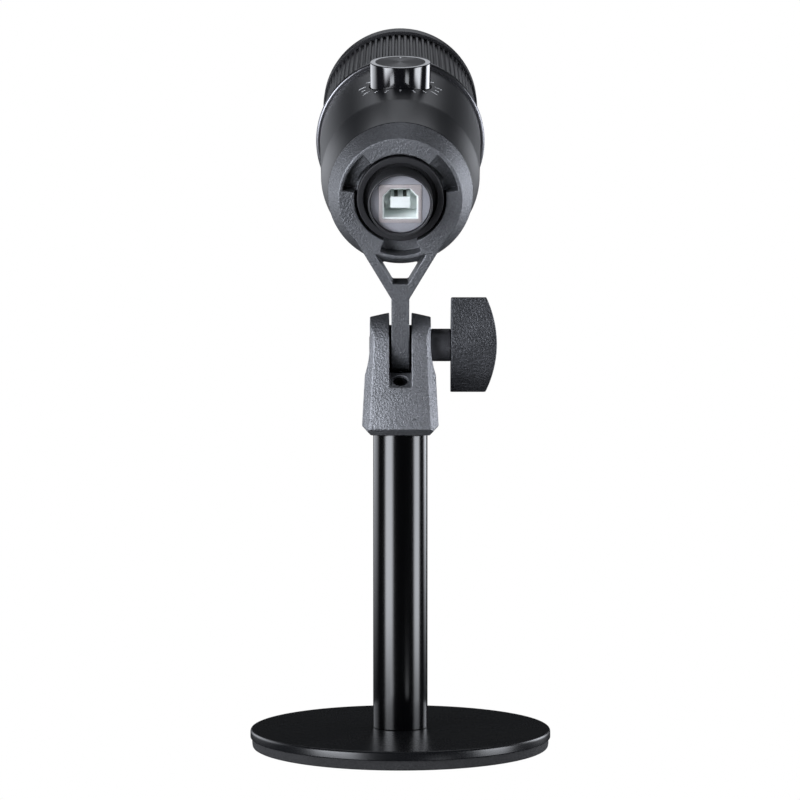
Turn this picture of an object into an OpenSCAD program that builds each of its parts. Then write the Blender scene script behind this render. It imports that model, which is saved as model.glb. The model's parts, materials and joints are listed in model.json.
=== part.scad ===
// Desktop microphone on a round base, with a tilting cradle, a clamping
// thumb knob and a volume dial.  All sizes are in millimetres.
// Origin: centre of the foot pad's underside.  +Z is up and +Y is the way the
// microphone faces.  Pieces of the microphone are drawn in its own frame: there
// +Y runs forward along the barrel from the cradle ring's rear face, and +Z
// points from the barrel's axis to the volume dial.

/* [Base] */
// Diameter of the steel base plate
base_d = 88; // [70:1:120]
// Thickness of the base plate
plate_t = 2.5; // [2.4:0.1:5]
// Radius of the plate's rounded upper edge
plate_edge_r = 0.9; // [0.3:0.1:1.5]
// Thickness of the foam pad under the plate
pad_t = 2.8; // [1.5:0.1:5]
// How far the pad stays inside the plate's edge
pad_inset = 0.5; // [0:0.1:3]

/* [Pole] */
// Outer diameter of the pole tube
pole_d = 16; // [14:0.5:20]
// Wall of the pole tube
pole_wall = 1.2; // [0.8:0.1:2]
// Height of the pole that shows between the plate and the clevis
pole_h = 85.8; // [50:0.1:180]
// How deep the pole sits in the clevis
pole_seat = 6; // [4:0.5:7]

/* [Clevis] */
// Height of the tilt axis above the clevis's lower face
hinge_rise = 26.5; // [25:0.1:32]
// Wall of the clevis at the pole's left and right
clevis_side_wall = 3.15; // [3:0.05:6]
// Half-width of the clevis's ears, from the tilt axis to their top
clevis_waist = 8.9; // [8.6:0.05:9.6]
// Wall of the clevis in front of the pole and behind it
clevis_face_wall = 2.5; // [2.3:0.1:6]
// Radius of the ears about the tilt axis
ear_r = 9.5; // [9:0.1:12]
// Width of the slot between the ears
slot_w = 6.5; // [6:0.1:8]
// Drop from the tilt axis to the slot's floor
slot_drop = 8.3; // [8.2:0.1:9.5]

/* [Clamp] */
// Radius of the hinge bolt's shank
bolt_r = 2.45; // [2:0.05:2.5]
// Width of the hexagon nut across its flats
nut_flats = 8; // [8:0.5:9]
// Thickness of the hexagon nut
nut_t = 3.8; // [3:0.1:4]
// Radius of the turned collar under the knob
collar_r = 4.8; // [4:0.1:5.2]
// Length of the collar
collar_l = 5.9; // [3:0.1:9]
// Height of the thumb knob's wing
knob_h = 27.6; // [22:0.2:34]
// Thickness of the wing at its middle
knob_t = 10.6; // [9.5:0.1:14]
// Thickness of the wing at its ends
knob_end_t = 4; // [3:0.1:6]
// Length of the knob along the bolt at its middle
knob_l = 13.4; // [12.5:0.1:18]
// Length of the knob along the bolt at its ends
knob_end_l = 10.3; // [9:0.1:12]

/* [Cradle] */
// Tilt of the microphone above the horizontal, in degrees
tilt = 21; // [0:1:40]
// Distance from the tilt axis to the barrel's axis
arm_len = 46.35; // [44:0.05:60]
// Thickness of the cradle along the barrel
cradle_t = 6.2; // [5.5:0.1:8]
// Width of the stem and of its eye
stem_w = 5.2; // [4:0.1:5.3]
// Radius of the eye at the stem's lower end
eye_r = 7.8; // [7:0.1:8]
// Width of each arm of the V
arm_w = 2.6; // [2:0.1:4]
// Radius of the cradle ring at its rear face
ring_rear_r = 17.6; // [17.2:0.1:18.6]
// Radius of the counterbore that takes the lock ring
ring_bore_r = 13; // [12.8:0.1:13.4]
// Radius of the threaded neck that the lock ring turns on
neck_r = 10.35; // [10.2:0.05:10.6]
// Radius of the lock ring
lock_r = 12.3; // [11.8:0.1:12.5]

/* [Barrel] */
// Radius of the barrel where it meets the cradle ring
barrel_r0 = 20.8; // [20:0.1:22]
// Radius of the barrel at its soft ridge
barrel_r1 = 23.3; // [22.8:0.1:24.5]
// Radius of the trim ring at the barrel's front lip
barrel_r2 = 26.4; // [26:0.05:30]
// How far the trim ring stands proud of the barrel's front edge
lip_step = 1.35; // [0.8:0.05:1.6]
// Distance of the soft ridge from the cradle's rear face
ridge_s = 24; // [16:0.5:28]
// Distance of the barrel's front lip from the cradle's rear face
lip_s = 68.4; // [62:0.1:84]
// Wall of the barrel
wall = 1.8; // [1.4:0.1:2.4]
// Width of the trim ring at the front lip
trim_w = 2.1; // [1.6:0.1:3]

/* [Dial] */
// Radius of the volume dial
dial_r = 9.1; // [8:0.1:11]
// Distance of the dial's axis from the cradle's rear face
dial_s = 45.1; // [40:0.1:50]
// Distance of the dial's top face from the barrel's axis
dial_top = 29.9; // [28:0.1:34]
// Distance of the dial's lower face from the barrel's axis
dial_low = 22.1; // [21.8:0.1:23]
// Width of the bevelled band around the dial's face
dial_band = 1.65; // [1:0.05:2.5]

/* [Grille] */
// Radius over the ribs of the grille sleeve
rib_r = 24.8; // [24.6:0.1:26]
// Depth of the grooves between the ribs
rib_h = 0.7; // [0.3:0.1:0.9]
// Number of ribs
rib_count = 80; // [40:4:100]
// Length of the ribbed sleeve
sleeve_l = 45.2; // [44:0.1:70]
// Radius of the smooth front ring
front_r = 25.7; // [25.2:0.05:27]
// Length of the front ring
front_l = 6.5; // [5.5:0.1:9]
// Height of the domed mesh at its middle
dome_h = 4.5; // [2:0.1:8]

/* [Socket] */
// Width of the USB-B socket's metal shell
usb_w = 12.04; // [11.9:0.01:12.1]
// Height of the USB-B socket's metal shell
usb_h = 11; // [10.8:0.1:11.1]
// How far the tail boss stands behind the cradle ring
boss_out = 6.4; // [3:0.1:8]
// Radius of the tail boss
boss_r = 9.1; // [9.1:0.05:9.5]

// How far the port plate is sunk in the tail boss
plate_in = 2; // [0.5:0.1:2.5]

/* [Capsule] */
// Radius of the microphone capsule
capsule_r = 12.45; // [8:0.05:13]
// Thickness of the capsule
capsule_t = 10; // [6:0.5:11]

/* [Hidden] */
$fn = 96;
fit_gap = 0.05;             // sliding and press seats within one body
run_gap = 0.07;             // the eye on the bolt
eps = 0.01;
through = 60;               // length of any cut that goes right through

plate_r = base_d / 2;
plate_z = pad_t + plate_t;
pole_r = pole_d / 2;
clevis_z = plate_z + pole_h;
clevis_half_low = pole_r + clevis_side_wall;
clevis_deep_low = pole_r + clevis_face_wall;
hinge_z = clevis_z + hinge_rise;
pole_top = clevis_z + pole_seat;
plug_len = 12;
thread_r = 3;
stud_len = 6.2;
insert_r = 4.2;
insert_len = 6.5;
csk_r = 5.8;
chamfer_h = 2.8;               // the foot's bevel at the left and right
chamfer_w = 2.6;
face_chamfer_h = 1.75;         // the foot's bevel at the front and back
face_chamfer_w = 2;
flank_taper = 0.0545;          // how fast the flanks lean in, per millimetre
waist_r = 28;
corner_cut = 2.1;
ear_slope = 1.4;
slot_front_z = clevis_z + 13.8;
slot_floor_z = hinge_z - slot_drop;
slot_slope = 43;
slot_step_lap = 0.3;
slot_step_gap = 0.35;
slot_cheek_y = 1.5;
slot_cheek_drop = 3;
slot_cheek_gap = 0.2;
slope_y = -clevis_deep(slot_front_z);
slope_run = (slot_floor_z - slot_front_z) / tan(slot_slope);
grub_r = 1.95;
grub_hole_r = 2.2;
grub_sink = 0.8;
grub_len = 3.7;
washer_r = 5.9;
washer_t = (slot_w - stem_w) / 2 - fit_gap;
spot_r = collar_r + 0.5;
nut_in = clevis_waist - nut_t - 0.1;
bolt_tip = clevis_waist + 0.2;
bolt_head_r = 3.6;
bolt_head_t = 4;
knob_x = clevis_waist + collar_l;
knob_knee = 12;
knob_steps = 32;
bolt_end = knob_x + knob_l - 5.5;

web_t = 3;                  // the clamped web inside the cradle ring
pocket_r = 16.5;
pocket_deg = 42;
pocket_deep = 4.8;
ramp_rise = 21;
arm_deg = 30;
stem_top = 21.2;
arm_foot = 16.65;
arm_reach = 22;

shell_s0 = cradle_t;
end_wall = 2;
spigot_l = 6.2;
shell_s1 = lip_s - trim_w;
spigot_s = lip_s - spigot_l;
body_r2 = barrel_r2 - lip_step;
spigot_wall = 1.2;
spigot_r = body_r2 - spigot_wall;
spigot_in = spigot_r - 1.5;
sleeve_in = spigot_r - 1;
sleeve_s1 = lip_s + sleeve_l;
front_s1 = sleeve_s1 + front_l;
front_edge_r = 1.2;
front_lip = 2.2;
mesh_t = 0.8;
mesh_r = front_r - front_lip + 0.6;
mesh_s = front_s1 - 2.6;

cup_gap = 0.35;
cup_wall = 1.3;
cup_floor = 1.5;
cup_floor_k = dial_low - 0.3;
board_k = 11;
board_t = 1.2;
board_top = board_k + board_t;
board_s0 = 20;
board_s1 = 57.5;
board_half = 14;
post_r = 2.2;
post_x = 12;
posts = [[post_x, 25], [-post_x, 25], [post_x, 53], [-post_x, 53]];
screw_r = 0.95;
screw_head_r = 1.9;
screw_head_h = 1.2;
bushing_r = 3.5;
bushing_top = cup_floor_k - 0.3;
shaft_r = 3;
shaft_top = dial_top - 2.2;
shaft_low = board_top + 1;
pot_w = 9.8;
pot_l = 11.4;
pot_top = cup_floor_k - cup_floor - 1.1;

boss_wall = 0.55;
port_s = plate_in - boss_out;   // the port plate's face
boss_in = boss_r - boss_wall;
ledge_in = 8.2;
port_t = 1.5;
flange_r = 11.5;
flange_t = 1.5;
usb_wall = 0.35;
usb_corner = 0.6;
usb_back = shell_s0 + end_wall + 3.4;
usb_face = port_s + 0.4;       // the insulator's face
usb_depth = 9;
tongue_w = 5.6;
tongue_h = 3.2;
contact_w = 0.9;
contact_t = 0.25;
usb_board_r = 16.2;
usb_post_x = 13.6;
usb_post_r = 1.9;

holder_t = 2.5;
holder_r = sleeve_in - 0.1;
lug_x = spigot_in - 2.2;
lug_r = 2.6;
window_x = 10.5;
window_r = 4.2;
cup_s = lip_s + 15.6;
boot_t = 1.3;
boot_back = 1.5;
capsule_s = cup_s + 1.5 + boot_back;
holder_cup_r = capsule_r + boot_t + 0.05;
holder_cup_wall = 1.4;
foam_r = sleeve_in - 1.6;
foam_s = capsule_s + capsule_t + 3;

// ---- places and shared shapes ----

// The microphone's own frame, at its tilt.
module on_mic() {
    translate([0, 0, hinge_z]) rotate([tilt, 0, 0])
        translate([0, -eye_r, arm_len]) children();
}

// A turned shape about the barrel's axis; its outline's points are [radius, s].
module turned(outline) {
    rotate([-90, 0, 0]) rotate_extrude() polygon(outline);
}

// A disc or a tube about the barrel's axis.
module drum(r, s0, s1, r_in = 0) {
    turned([[r_in, s0], [r, s0], [r, s1], [r_in, s1]]);
}

// A flat outline, drawn as [x, z], standing from s0 forward to s1.
module slab(s0, s1) {
    translate([0, s1, 0]) rotate([90, 0, 0]) linear_extrude(s1 - s0) children();
}

// A rod along the X axis from x0 to x1.
module rod_x(r, x0, x1, faces = 96) {
    translate([x0, 0, 0]) rotate([0, 90, 0]) cylinder(r = r, h = x1 - x0, $fn = faces);
}

// A rod along the microphone's forward axis.
module rod_s(r, s0, s1) {
    translate([0, s0, 0]) rotate([-90, 0, 0]) cylinder(r = r, h = s1 - s0);
}

module rounded_rect(w, h, r) {
    union() {
        square([w - 2 * r, h], center = true);
        square([w, h - 2 * r], center = true);
        for (x = [-1, 1], y = [-1, 1])
            translate([x * (w / 2 - r), y * (h / 2 - r)]) circle(r = r, $fn = 24);
    }
}

function arc_points(cx, cy, r, a0, a1, steps) =
    [for (i = [0:steps]) let (a = a0 + (a1 - a0) * i / steps) [cx + r * cos(a), cy + r * sin(a)]];

// ---- base and pole ----

module foot_pad() {
    color("dimgray") cylinder(r = plate_r - pad_inset, h = pad_t);
}

module base_plate() {
    color("black") difference() {
        translate([0, 0, pad_t]) rotate_extrude() polygon(concat(
            [[0, 0], [plate_r, 0]],
            arc_points(plate_r - plate_edge_r, plate_t - plate_edge_r, plate_edge_r, 0, 90, 6),
            [[0, plate_t]]));
        translate([0, 0, pad_t - eps])
            cylinder(r1 = csk_r + fit_gap, r2 = thread_r + fit_gap, h = plate_t - 0.1);
        translate([0, 0, pad_t]) cylinder(r = thread_r + fit_gap, h = plate_t + 1);
    }
}

// Countersunk screw from below, hidden by the pad.
module base_screw() {
    color("silver") translate([0, 0, pad_t]) union() {
        cylinder(r1 = csk_r - fit_gap, r2 = thread_r, h = plate_t - 0.1);
        cylinder(r = thread_r, h = plate_t + plug_len - 2);
    }
}

module pole_tube() {
    color("black") translate([0, 0, plate_z]) difference() {
        cylinder(r = pole_r, h = pole_top - plate_z);
        translate([0, 0, -1]) cylinder(r = pole_r - pole_wall, h = pole_top - plate_z + 2);
    }
}

module pole_foot_plug() {
    color("silver") translate([0, 0, plate_z]) difference() {
        cylinder(r = pole_r - pole_wall - fit_gap, h = plug_len);
        translate([0, 0, -1]) cylinder(r = thread_r + fit_gap, h = plug_len + 2);
    }
}

module pole_top_stud() {
    color("silver") union() {
        translate([0, 0, pole_top - plug_len])
            cylinder(r = pole_r - pole_wall - fit_gap, h = plug_len);
        translate([0, 0, pole_top - 1]) cylinder(r = thread_r - fit_gap, h = stud_len + 1);
    }
}

// ---- clevis ----

// Front outline of the clevis: a bevelled foot, tapered flanks that curve in below
// the tilt axis, and straight ears above it.
module clevis_front_outline() {
    top_z = hinge_z + ear_r;
    flank = clevis_half_low - flank_taper * (hinge_rise - chamfer_h);
    difference() {
        polygon([[-clevis_half_low + chamfer_w, clevis_z],
                 [clevis_half_low - chamfer_w, clevis_z],
                 [clevis_half_low, clevis_z + chamfer_h],
                 [flank, hinge_z],
                 [clevis_waist, hinge_z],
                 [clevis_waist, top_z - ear_slope],
                 [slot_w / 2, top_z],
                 [-slot_w / 2, top_z],
                 [-clevis_waist, top_z - ear_slope],
                 [-clevis_waist, hinge_z],
                 [-flank, hinge_z],
                 [-clevis_half_low, clevis_z + chamfer_h]]);
        for (side = [-1, 1])
            translate([side * (clevis_waist + waist_r), hinge_z]) circle(r = waist_r, $fn = 192);
    }
}

// Side outline of the clevis: round ears on a slightly deeper foot.
module clevis_side_outline() {
    union() {
        translate([0, hinge_z]) circle(r = ear_r);
        polygon([[-clevis_deep_low + face_chamfer_w, clevis_z],
                 [clevis_deep_low - face_chamfer_w, clevis_z],
                 [clevis_deep_low, clevis_z + face_chamfer_h],
                 [ear_r, hinge_z],
                 [-ear_r, hinge_z],
                 [-clevis_deep_low, clevis_z + face_chamfer_h]]);
    }
}

// A tapered wall seen across a diagonal; two of them cut the four upright corners.
module clevis_corner_wall() {
    low = (clevis_half_low + clevis_deep_low - corner_cut) / sqrt(2);
    top = (clevis_waist + ear_r - corner_cut) / sqrt(2);
    translate([0, through, 0]) rotate([90, 0, 0]) linear_extrude(2 * through)
        polygon([[-low, clevis_z], [low, clevis_z],
                 [top, hinge_z + ear_r], [-top, hinge_z + ear_r]]);
}

// Half-depth of the clevis at a height between its foot and the tilt axis.
function clevis_deep(z) = clevis_deep_low
    + (ear_r - clevis_deep_low) * (z - clevis_z - face_chamfer_h) / (hinge_rise - face_chamfer_h);

// The slot's floor is a slope at the microphone's rear side, then level, with a
// low step at the far side that closes the gap under the eye.
module slot_cut() {
    step_z = hinge_z - eye_r + slot_step_lap;
    step_y = sqrt(pow(eye_r + slot_step_gap, 2) - pow(eye_r - slot_step_lap, 2));
    difference() {
        translate([-slot_w / 2, 0, 0]) rotate([90, 0, 90]) linear_extrude(slot_w)
            polygon([[-through, slot_front_z],
                     [slope_y, slot_front_z],
                     [slope_y + slope_run, slot_floor_z],
                     [step_y, slot_floor_z],
                     [step_y, step_z],
                     [through, step_z],
                     [through, hinge_z + through],
                     [-through, hinge_z + through]]);
        slot_cheeks();
    }
}

// Low cheeks beside the eye, under the washers, close the gaps at its two sides.
module slot_cheeks() {
    inner = stem_w / 2 + slot_cheek_gap;
    difference() {
        for (side = [-1, 1])
            translate([side > 0 ? inner : -inner - slot_w, slot_cheek_y, 0])
                cube([slot_w, through, hinge_z - slot_cheek_drop]);
        translate([0, 0, hinge_z]) rod_x(washer_r + slot_cheek_gap, -through, through);
    }
}

// The grub screw's line starts at the middle of the slope and runs into it.
module on_grub_line() {
    translate([0, slope_y + slope_run / 2, (slot_front_z + slot_floor_z) / 2])
        rotate([180 + slot_slope, 0, 0]) children();
}

module clevis() {
    color("dimgray") difference() {
        intersection() {
            translate([0, through, 0]) rotate([90, 0, 0]) linear_extrude(2 * through)
                clevis_front_outline();
            translate([-through, 0, 0]) rotate([90, 0, 90]) linear_extrude(2 * through)
                clevis_side_outline();
            rotate([0, 0, 45]) clevis_corner_wall();
            rotate([0, 0, -45]) clevis_corner_wall();
        }
        slot_cut();
        on_grub_line() translate([0, 0, -3]) cylinder(r = grub_hole_r, h = grub_sink + grub_len + 3.4);
        translate([0, 0, clevis_z - 1]) cylinder(r = pole_r + fit_gap, h = pole_seat + 1);
        translate([0, 0, pole_top - 1]) cylinder(r = insert_r + fit_gap, h = insert_len + 1.1);
        translate([0, 0, hinge_z]) {
            rod_x(bolt_r + run_gap, -through / 2, through / 2);
            rod_x(spot_r, clevis_waist, through / 2);
            rotate([0, -90, 0]) translate([0, 0, nut_in - fit_gap])
                cylinder(d = (nut_flats + 0.1) / cos(30), h = through / 2, $fn = 6);
        }
    }
}

module clevis_insert() {
    color("gold") translate([0, 0, pole_top]) difference() {
        cylinder(r = insert_r, h = insert_len);
        translate([0, 0, -1]) cylinder(r = thread_r, h = insert_len + 2);
    }
}

module clevis_grub_screw() {
    color("silver") on_grub_line() translate([0, 0, grub_sink]) difference() {
        cylinder(r = grub_r, h = grub_len);
        translate([0, 0, -1]) cylinder(r = 1.1, h = 2.4, $fn = 6);
    }
}

// ---- clamp ----

module hinge_nut() {
    color("silver") translate([0, 0, hinge_z]) difference() {
        rotate([0, -90, 0]) translate([0, 0, nut_in])
            cylinder(d = nut_flats / cos(30), h = nut_t, $fn = 6);
        rod_x(bolt_r + fit_gap, -through / 2, through / 2);
    }
}

module friction_washers() {
    middle = (stem_w + slot_w) / 4;
    color("black") translate([0, 0, hinge_z]) difference() {
        for (side = [-1, 1])
            rod_x(washer_r, side * middle - washer_t / 2, side * middle + washer_t / 2);
        rod_x(bolt_r + run_gap, -through / 2, through / 2);
    }
}

module knob_collar() {
    edge = 0.4;
    color("black") translate([0, 0, hinge_z]) difference() {
        rotate([0, 90, 0]) rotate_extrude() polygon([
            [0, clevis_waist], [collar_r - edge, clevis_waist], [collar_r, clevis_waist + edge],
            [collar_r, knob_x - edge], [collar_r - edge, knob_x], [0, knob_x]]);
        rod_x(bolt_r + fit_gap, -through / 2, through / 2);
    }
}

// Outline of the wing seen from the microphone's rear: its outer edge is an arc.
module knob_outline() {
    half = knob_h / 2;
    bow = knob_l - knob_end_l;
    bow_r = (half * half + bow * bow) / (2 * bow);
    intersection() {
        translate([knob_x, -half]) square([knob_l, knob_h]);
        translate([knob_x + knob_l - bow_r, 0]) circle(r = bow_r, $fn = 192);
    }
}

// Seen along the bolt, each wing is flat on one side and bowed on the other, the
// two wings the opposite way round, so that a thumb and finger turn it.
module knob_section() {
    half = knob_h / 2;
    drop = knob_t - knob_end_t;
    chord = atan2(drop, half);
    bow_r = norm([drop, half]) / (2 * sin(chord - knob_knee));
    bowed = [for (i = [0:knob_steps])
                 let (a = knob_knee + 2 * (chord - knob_knee) * i / knob_steps)
                 [bow_r * (cos(knob_knee) - cos(a)) - knob_t / 2,
                  bow_r * (sin(knob_knee) - sin(a))]];
    polygon(concat([[-knob_t / 2, half]], bowed,
                   [[knob_t / 2, -half]], [for (p = bowed) -p]));
}

module bolt_shape(gap) {
    rod_x(bolt_r + gap, -bolt_tip, bolt_end);
    rod_x(bolt_head_r + gap, bolt_end - bolt_head_t, bolt_end);
}

module thumb_knob() {
    color("dimgray") translate([0, 0, hinge_z]) difference() {
        intersection() {
            translate([0, through / 2, 0]) rotate([90, 0, 0]) linear_extrude(through)
                knob_outline();
            rotate([90, 0, 90]) linear_extrude(through) knob_section();
        }
        bolt_shape(0.02);
    }
}

module hinge_bolt() {
    color("silver") translate([0, 0, hinge_z]) bolt_shape(0);
}

// ---- cradle ----

// The V arms, the stem and the eye's web, seen from behind, about the barrel's axis.
module cradle_arms_outline() {
    for (side = [-1, 1]) mirror([side < 0 ? 1 : 0, 0])
        translate([stem_w / 2, arm_foot - arm_len]) rotate(-arm_deg)
            translate([-arm_w, 0]) square([arm_w, arm_reach]);
    translate([-stem_w / 2, -arm_len]) square([stem_w, stem_top]);
}

// One rear pocket of the ring; its floor ramps up to the rear face at one end.
module ring_pocket(middle, ramp_side) {
    rotate([0, -middle, 0]) intersection() {
        rotate([-90, 0, 0]) rotate([0, 0, -pocket_deg / 2]) rotate_extrude(angle = pocket_deg)
            polygon([[ring_bore_r - 0.3, -1], [pocket_r, -1],
                     [pocket_r, pocket_deep], [ring_bore_r - 0.3, pocket_deep]]);
        if (ramp_side != 0)
            translate([pocket_r, 0, ramp_side * pocket_r * tan(pocket_deg / 2)])
                rotate([ramp_side * ramp_rise, 0, 0])
                translate([-through / 2, -through, -through / 2]) cube([through, through, through]);
    }
}

module cradle_bracket() {
    color("dimgray") on_mic() difference() {
        union() {
            turned([[neck_r + fit_gap, cradle_t - web_t], [ring_bore_r, cradle_t - web_t],
                    [ring_bore_r, 0], [ring_rear_r, 0],
                    [barrel_r0, cradle_t], [neck_r + fit_gap, cradle_t]]);
            difference() {
                slab(0, cradle_t) cradle_arms_outline();
                drum(ring_rear_r - 1, -1, cradle_t + 1);
            }
            translate([0, eye_r, -arm_len]) rod_x(eye_r, -stem_w / 2, stem_w / 2);
        }
        translate([0, eye_r, -arm_len]) rod_x(bolt_r + run_gap, -through / 2, through / 2);
        ring_pocket(-90, 0);
        ring_pocket(30, 1);
        ring_pocket(150, -1);
    }
}

module lock_ring() {
    color("black") on_mic() drum(lock_r, 0.2, cradle_t - web_t, neck_r + fit_gap);
}

// ---- barrel ----

module shell_envelope() {
    skin = 0.4;
    turned([[0, shell_s0 + skin], [barrel_r0 - skin, shell_s0 + skin],
            [barrel_r1 - skin, ridge_s], [body_r2 - skin, shell_s1 - skin],
            [0, shell_s1 - skin]]);
}

// Places a child on the dial's axis, with its Z away from the barrel's axis.
module on_dial_axis() {
    translate([0, dial_s, 0]) children();
}

module rear_shell() {
    edge = 0.25;
    color("black") on_mic() difference() {
        union() {
            turned([[boss_r + fit_gap, -0.3], [neck_r, -0.3], [neck_r, shell_s0],
                    [barrel_r0, shell_s0], [barrel_r1, ridge_s],
                    [body_r2, shell_s1 - edge], [body_r2 - edge, shell_s1],
                    [spigot_r + 0.1, shell_s1], [spigot_r + 0.1, spigot_s],
                    [spigot_in, spigot_s], [barrel_r1 - wall, ridge_s],
                    [barrel_r0 - wall, shell_s0 + end_wall],
                    [boss_r + fit_gap, shell_s0 + end_wall]]);
            intersection() {
                shell_envelope();
                union() {
                    on_dial_axis() translate([0, 0, cup_floor_k - cup_floor])
                        cylinder(r = dial_r + cup_gap + cup_wall, h = 10);
                    for (p = posts) translate([p[0], p[1], board_top])
                        cylinder(r = post_r, h = 14);
                    for (x = [-usb_post_x, usb_post_x])
                        translate([x, 0, 0]) rod_s(usb_post_r, shell_s0 + 1, usb_back);
                }
            }
        }
        on_dial_axis() translate([0, 0, cup_floor_k]) cylinder(r = dial_r + cup_gap, h = 20);
        on_dial_axis() cylinder(r = bushing_r + fit_gap, h = 30);
        for (p = posts) translate([p[0], p[1], board_top - 1]) cylinder(r = screw_r + 0.02, h = 4.6);
        for (x = [-usb_post_x, usb_post_x])
            translate([x, 0, 0]) rod_s(screw_r + 0.02, usb_back - 2.9, usb_back + 1);
    }
}

// A rounded bead, with a groove between it and the barrel's front edge.
module trim_ring() {
    groove_r = body_r2 - 0.6;
    bead_s = shell_s1 + 0.3;
    bead_r = 0.9;
    color("black") on_mic() turned(concat(
        [[spigot_r + 0.1, shell_s1], [groove_r, shell_s1], [groove_r, bead_s]],
        arc_points(barrel_r2 - bead_r, bead_s + bead_r, bead_r, -90, 0, 6),
        [[barrel_r2, lip_s - 0.3], [barrel_r2 - 0.3, lip_s], [spigot_r + 0.1, lip_s]]));
}

// ---- socket ----

module tail_boss() {
    color("black") on_mic() turned([
        [ledge_in, port_s + port_t], [boss_in, port_s + port_t],
        [boss_in, -boss_out], [boss_r - 0.2, -boss_out], [boss_r, -boss_out + 0.2],
        [boss_r, shell_s0 + end_wall], [flange_r, shell_s0 + end_wall],
        [flange_r, shell_s0 + end_wall + flange_t], [ledge_in, shell_s0 + end_wall + flange_t]]);
}

module port_plate() {
    color("dimgray") on_mic() difference() {
        drum(boss_in - fit_gap, port_s, port_s + port_t);
        slab(-through / 2, through / 2) rounded_rect(usb_w + 0.1, usb_h + 0.1, usb_corner);
    }
}

module usb_shell() {
    color("silver") on_mic() slab(port_s - 0.2, usb_back) difference() {
        rounded_rect(usb_w, usb_h, usb_corner);
        rounded_rect(usb_w - 2 * usb_wall, usb_h - 2 * usb_wall, usb_corner - 0.3);
    }
}

// The opening of a USB-B socket: a square with its two upper corners cut.
module usb_opening() {
    w = 9.3;
    h = 8.2;
    cut = 2.1;
    polygon([[-w / 2, -h / 2], [w / 2, -h / 2], [w / 2, h / 2 - cut], [w / 2 - cut, h / 2],
             [-w / 2 + cut, h / 2], [-w / 2, h / 2 - cut]]);
}

module usb_insulator() {
    color("white") on_mic() union() {
        difference() {
            slab(usb_face, usb_back)
                rounded_rect(usb_w - 2 * usb_wall - 0.04, usb_h - 2 * usb_wall - 0.04, usb_corner - 0.25);
            slab(usb_face - 1, usb_face + usb_depth) usb_opening();
        }
        slab(usb_face + 1, usb_face + usb_depth + 0.5) square([tongue_w, tongue_h], center = true);
    }
}

module usb_contacts() {
    color("gold") on_mic() for (x = [-1.25, 1.25], side = [-1, 1])
        translate([x, 0, side * (tongue_h + contact_t) / 2])
            slab(usb_face + 1.8, usb_face + usb_depth) square([contact_w, contact_t], center = true);
}

module usb_board() {
    color("darkgreen") on_mic() difference() {
        drum(usb_board_r, usb_back, usb_back + board_t);
        for (x = [-usb_post_x, usb_post_x])
            translate([x, 0, 0]) rod_s(screw_r + 0.15, usb_back - 1, usb_back + board_t + 1);
    }
}

module usb_board_screws() {
    color("silver") on_mic() for (x = [-usb_post_x, usb_post_x]) translate([x, 0, 0]) {
        rod_s(screw_r, usb_back - 2.6, usb_back + board_t + 0.5);
        rod_s(screw_head_r, usb_back + board_t, usb_back + board_t + screw_head_h);
    }
}

// ---- electronics ----

module board_header() {
    s0 = usb_back + board_t;
    color("black") on_mic() translate([-5, s0, board_k - 2.5]) cube([10, board_s0 + 4 - s0, 2.5]);
}

module main_board() {
    color("darkgreen") on_mic() difference() {
        translate([-board_half, board_s0, board_k]) cube([2 * board_half, board_s1 - board_s0, board_t]);
        for (p = posts) translate([p[0], p[1], board_k - 1]) cylinder(r = screw_r + 0.15, h = board_t + 2);
    }
}

// Chips, a crystal and two capacitors on the board's lower side.
module board_parts() {
    color("dimgray") on_mic() {
        translate([-3.5, 31, board_k - 1]) cube([7, 7, 1]);
        translate([5.5, 31, board_k - 0.9]) cube([5, 4, 0.9]);
        translate([-10.5, 32, board_k - 3.4]) cube([4.6, 3.2, 3.4]);
        translate([-7, 47, board_k - 6]) cylinder(r = 2.5, h = 6);
        translate([7, 47, board_k - 6]) cylinder(r = 2.5, h = 6);
    }
}

module board_screws() {
    color("silver") on_mic() for (p = posts) translate([p[0], p[1], 0]) {
        translate([0, 0, board_k - 0.5]) cylinder(r = screw_r, h = board_t + 3.6);
        translate([0, 0, board_k - screw_head_h]) cylinder(r = screw_head_r, h = screw_head_h);
    }
}

module potentiometer() {
    color("steelblue") on_mic() on_dial_axis() difference() {
        union() {
            translate([-pot_w / 2, -pot_l / 2, board_top]) cube([pot_w, pot_l, pot_top - board_top]);
            translate([0, 0, board_top + 1]) cylinder(r = bushing_r, h = bushing_top - board_top - 1);
        }
        translate([0, 0, shaft_low - 0.2]) cylinder(r = shaft_r + fit_gap, h = 30);
    }
}

module dial_shaft() {
    color("silver") on_mic() on_dial_axis() translate([0, 0, shaft_low])
        cylinder(r = shaft_r, h = shaft_top - shaft_low);
}

module volume_dial() {
    edge = 0.25;
    color("black") on_mic() on_dial_axis() difference() {
        rotate_extrude() polygon([
            [0, dial_low], [dial_r, dial_low], [dial_r, dial_top - edge],
            [dial_r - dial_band, dial_top], [dial_r - dial_band, dial_top - 0.1],
            [0, dial_top - 0.1]]);
        translate([0, 0, dial_low - 1]) cylinder(r = shaft_r + 0.02, h = shaft_top - dial_low + 1.1);
    }
}

// ---- grille and capsule ----

// Section of the ribbed sleeve: narrow ribs with wider grooves between them.
function rib_points() = [for (i = [0:rib_count - 1], c = [0:3])
    let (pitch = 360 / rib_count, a = pitch * (i + [-0.2, -0.16, 0.16, 0.2][c]),
         r = (c == 0 || c == 3) ? rib_r - rib_h : rib_r)
    [r * sin(a), r * cos(a)]];

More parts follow.
